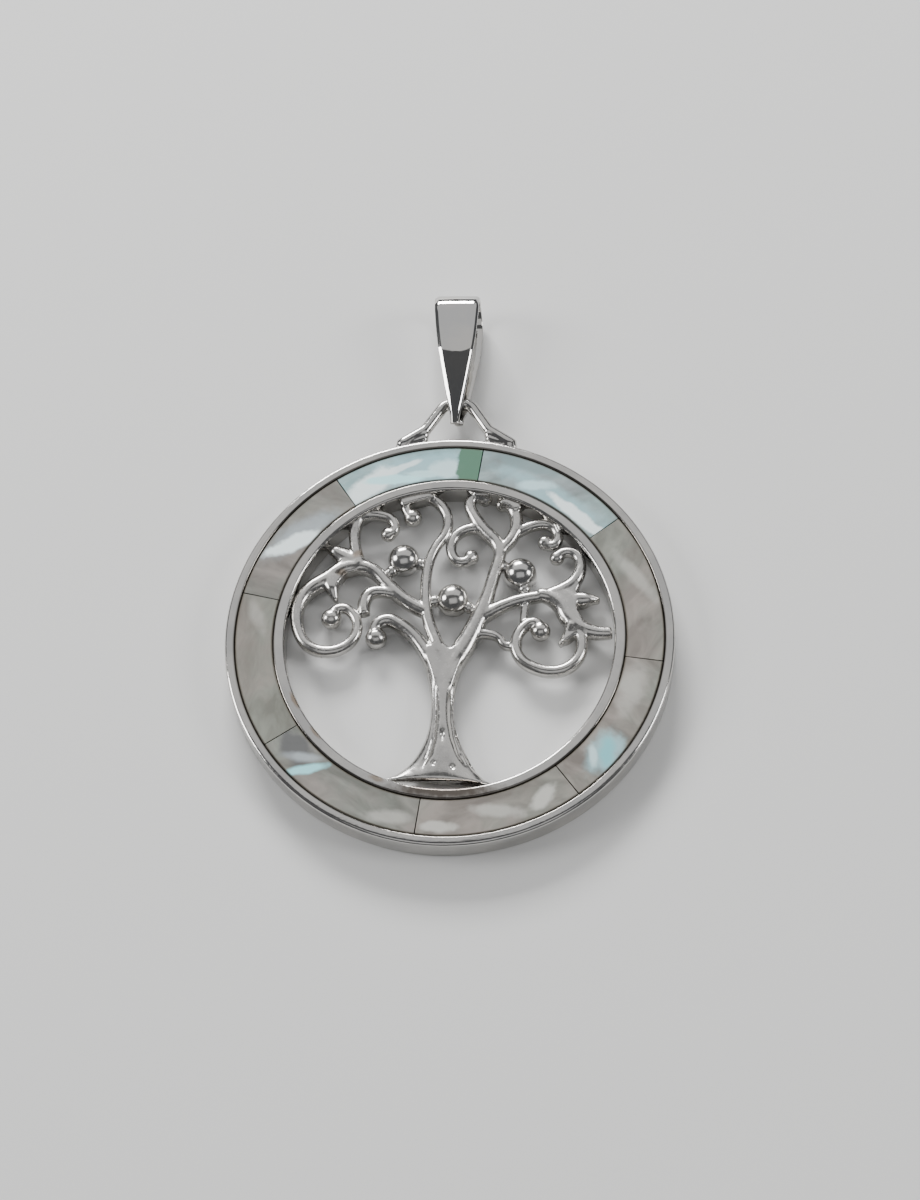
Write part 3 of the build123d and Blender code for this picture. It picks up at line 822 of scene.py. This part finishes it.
def make_bail():
    path = bail_path()
    last = len(path) - 1
    low, high = path[0].x, path[front_steps].x
    bm = bmesh.new()
    made = []
    for i, p in enumerate(path):
        along = path[min(i + 1, last)] - path[max(i - 1, 0)]
        normal = Vector((-along.y, along.x)).normalized()
        half = smooth_value(bail_widths, p.x, 1)
        left, right = [min(bevel, 0.42 * half) for bevel in bail_bevels]
        aside = bail_askew * min(1, max(0, (i - bail_askew_start) / bail_askew_steps))
        rows = [(-half, bail_bevel_depth), (-half + left, 0.0)]
        for k in range(1, 6):
            rows.append((-half + left + (2 * half - left - right) * k / 6, 0.0))
        rows += [(half - right, 0.0), (half, bail_bevel_depth), (half, bail_wall - bail_lip)]
        rows += [(half - bail_lip, bail_wall), (0.0, bail_wall), (-half + bail_lip, bail_wall)]
        rows.append((-half, bail_wall - bail_lip))
        ring = []
        for across, deep in rows:
            swell = bail_crown * (1 - (across / half) ** 2) if deep == 0.0 else 0.0
            if i < front_steps:
                bend = bail_bend_place - bail_bend_dip * (1 - (across / half) ** 2)
                rise = min((p.x - low) / (bend - low), (high - p.x) / (high - bend))
                swell += bail_bend * max(0, rise)
            q = p - normal * (deep - swell)
            y = arch_top + q.x * cos(bail_lean) - q.y * sin(bail_lean)
            z = arch_level + q.x * sin(bail_lean) + q.y * cos(bail_lean)
            ring.append(Vector((across + aside, y, max(z, 0.02))))
        made.append(ring)
    add_tube(bm, made)
    obj = finished("folded_bail", bm, strap_silver, "bail", ["bail"])
    soften = obj.modifiers.new("edges", "BEVEL")
    soften.width = 0.00005
    soften.segments = 2
    soften.limit_method = "ANGLE"
    soften.angle_limit = radians(18)
    return obj


make_ring()
make_tree()
make_fruits()
make_arch()
make_bail()

# Floor, light and camera

floor_half = 1.2
floor_mesh = bpy.data.meshes.new("floor")
corners = [(x * floor_half, y * floor_half, 0) for x, y in ((-1, -1), (1, -1), (1, 1), (-1, 1))]
floor_mesh.from_pydata(corners, [], [(0, 1, 2, 3)])
floor = bpy.data.objects.new("floor", floor_mesh)
floor.location.z = -0.02 * MM
bpy.context.collection.objects.link(floor)
floor_material, _, floor_shader = node_material("pale_floor")
floor_shader.inputs["Base Color"].default_value = (0.74, 0.74, 0.73, 1)
floor_shader.inputs["Roughness"].default_value = 0.75
floor_mesh.materials.append(floor_material)

# Soft panels that face the middle of the scene: place, width and height in metres, and power.
panels = {
    "back_key": ((-0.14, 0.62, 0.29), 0.34, 0.16, 8.0),
    "overhead": ((0.0, 0.554, 0.735), 1.80, 0.78, 3.1),
    "left_side": ((-0.62, 0.05, 0.34), 0.26, 0.26, 2.8),
    "front_fill": ((0.05, -0.42, 0.80), 0.90, 0.55, 0.95),
    "right_side": ((0.62, 0.00, 0.36), 0.22, 0.22, 1.8),
}
for name, (place, width, height, power) in panels.items():
    data = bpy.data.lights.new(name, "AREA")
    data.shape = "RECTANGLE"
    data.size = width
    data.size_y = height
    data.energy = power
    lamp = bpy.data.objects.new(name, data)
    lamp.location = place
    lamp.rotation_euler = Vector(place).to_track_quat("Z", "Y").to_euler()
    bpy.context.collection.objects.link(lamp)

world = bpy.data.worlds.new("studio")
world.use_nodes = True
world.node_tree.nodes["Background"].inputs["Color"].default_value = (0.86, 0.88, 0.92, 1)
world.node_tree.nodes["Background"].inputs["Strength"].default_value = 0.13
bpy.context.scene.world = world

# The camera's angles, its distance and target in mm, and its focal length in pixels of the photo.
azimuth, elevation, roll = radians(7.0), radians(63.37), radians(-6.3155)
distance = 220.0
focal = 2725.3
photo_height = 1200
back = Vector((sin(azimuth) * cos(elevation), -cos(azimuth) * cos(elevation), sin(elevation)))
right = Vector((0, 0, 1)).cross(back).normalized()
up = back.cross(right)
rolled_right = cos(roll) * right + sin(roll) * up
rolled_up = -sin(roll) * right + cos(roll) * up
target = Vector((0.737, 3.692 + SHIFT, 1.0))
eye = (target + back * distance) * MM
camera_data = bpy.data.cameras.new("camera")
camera = bpy.data.objects.new("camera", camera_data)
bpy.context.collection.objects.link(camera)
camera.matrix_world = Matrix((
    (rolled_right.x, rolled_up.x, back.x, eye.x),
    (rolled_right.y, rolled_up.y, back.y, eye.y),
    (rolled_right.z, rolled_up.z, back.z, eye.z),
    (0, 0, 0, 1)))
camera_data.sensor_fit = "VERTICAL"
camera_data.sensor_height = 24.0
camera_data.lens = camera_data.sensor_height * focal / photo_height
camera_data.clip_start = 0.01
camera_data.clip_end = 10
bpy.context.scene.camera = camera
